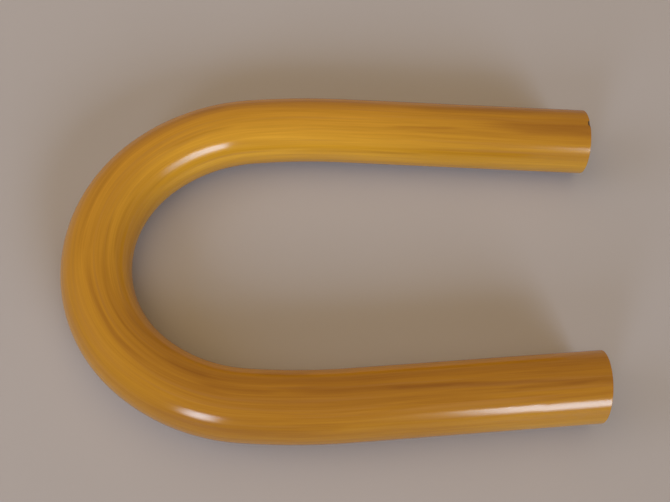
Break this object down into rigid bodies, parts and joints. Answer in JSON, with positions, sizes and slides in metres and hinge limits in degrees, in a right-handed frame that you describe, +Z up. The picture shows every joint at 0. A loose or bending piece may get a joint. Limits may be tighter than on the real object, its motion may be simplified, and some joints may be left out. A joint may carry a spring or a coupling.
{
  "type": "handrail bend",
  "caption": "Round wood-grained plastic handrail tube, heat-formed into a wide U with open ends, that joins two parallel rails.",
  "frame": {"origin": "centre of the footprint, on the surface that the bend lies on", "axes": "+X out of the open end of the U, along the line midway between the legs; +Y towards the longer, far leg; +Z up, across the tube"},
  "size_m": [0.475, 0.3274, 0.06],
  "materials": {
    "wood_grain_pvc": "glossy rigid plastic, coloured through, with a printed oak-like grain of long golden and brown streaks"
  },
  "bodies": {
    "root": {"handrail": "wood_grain_pvc"}
  },
  "joints": []
}
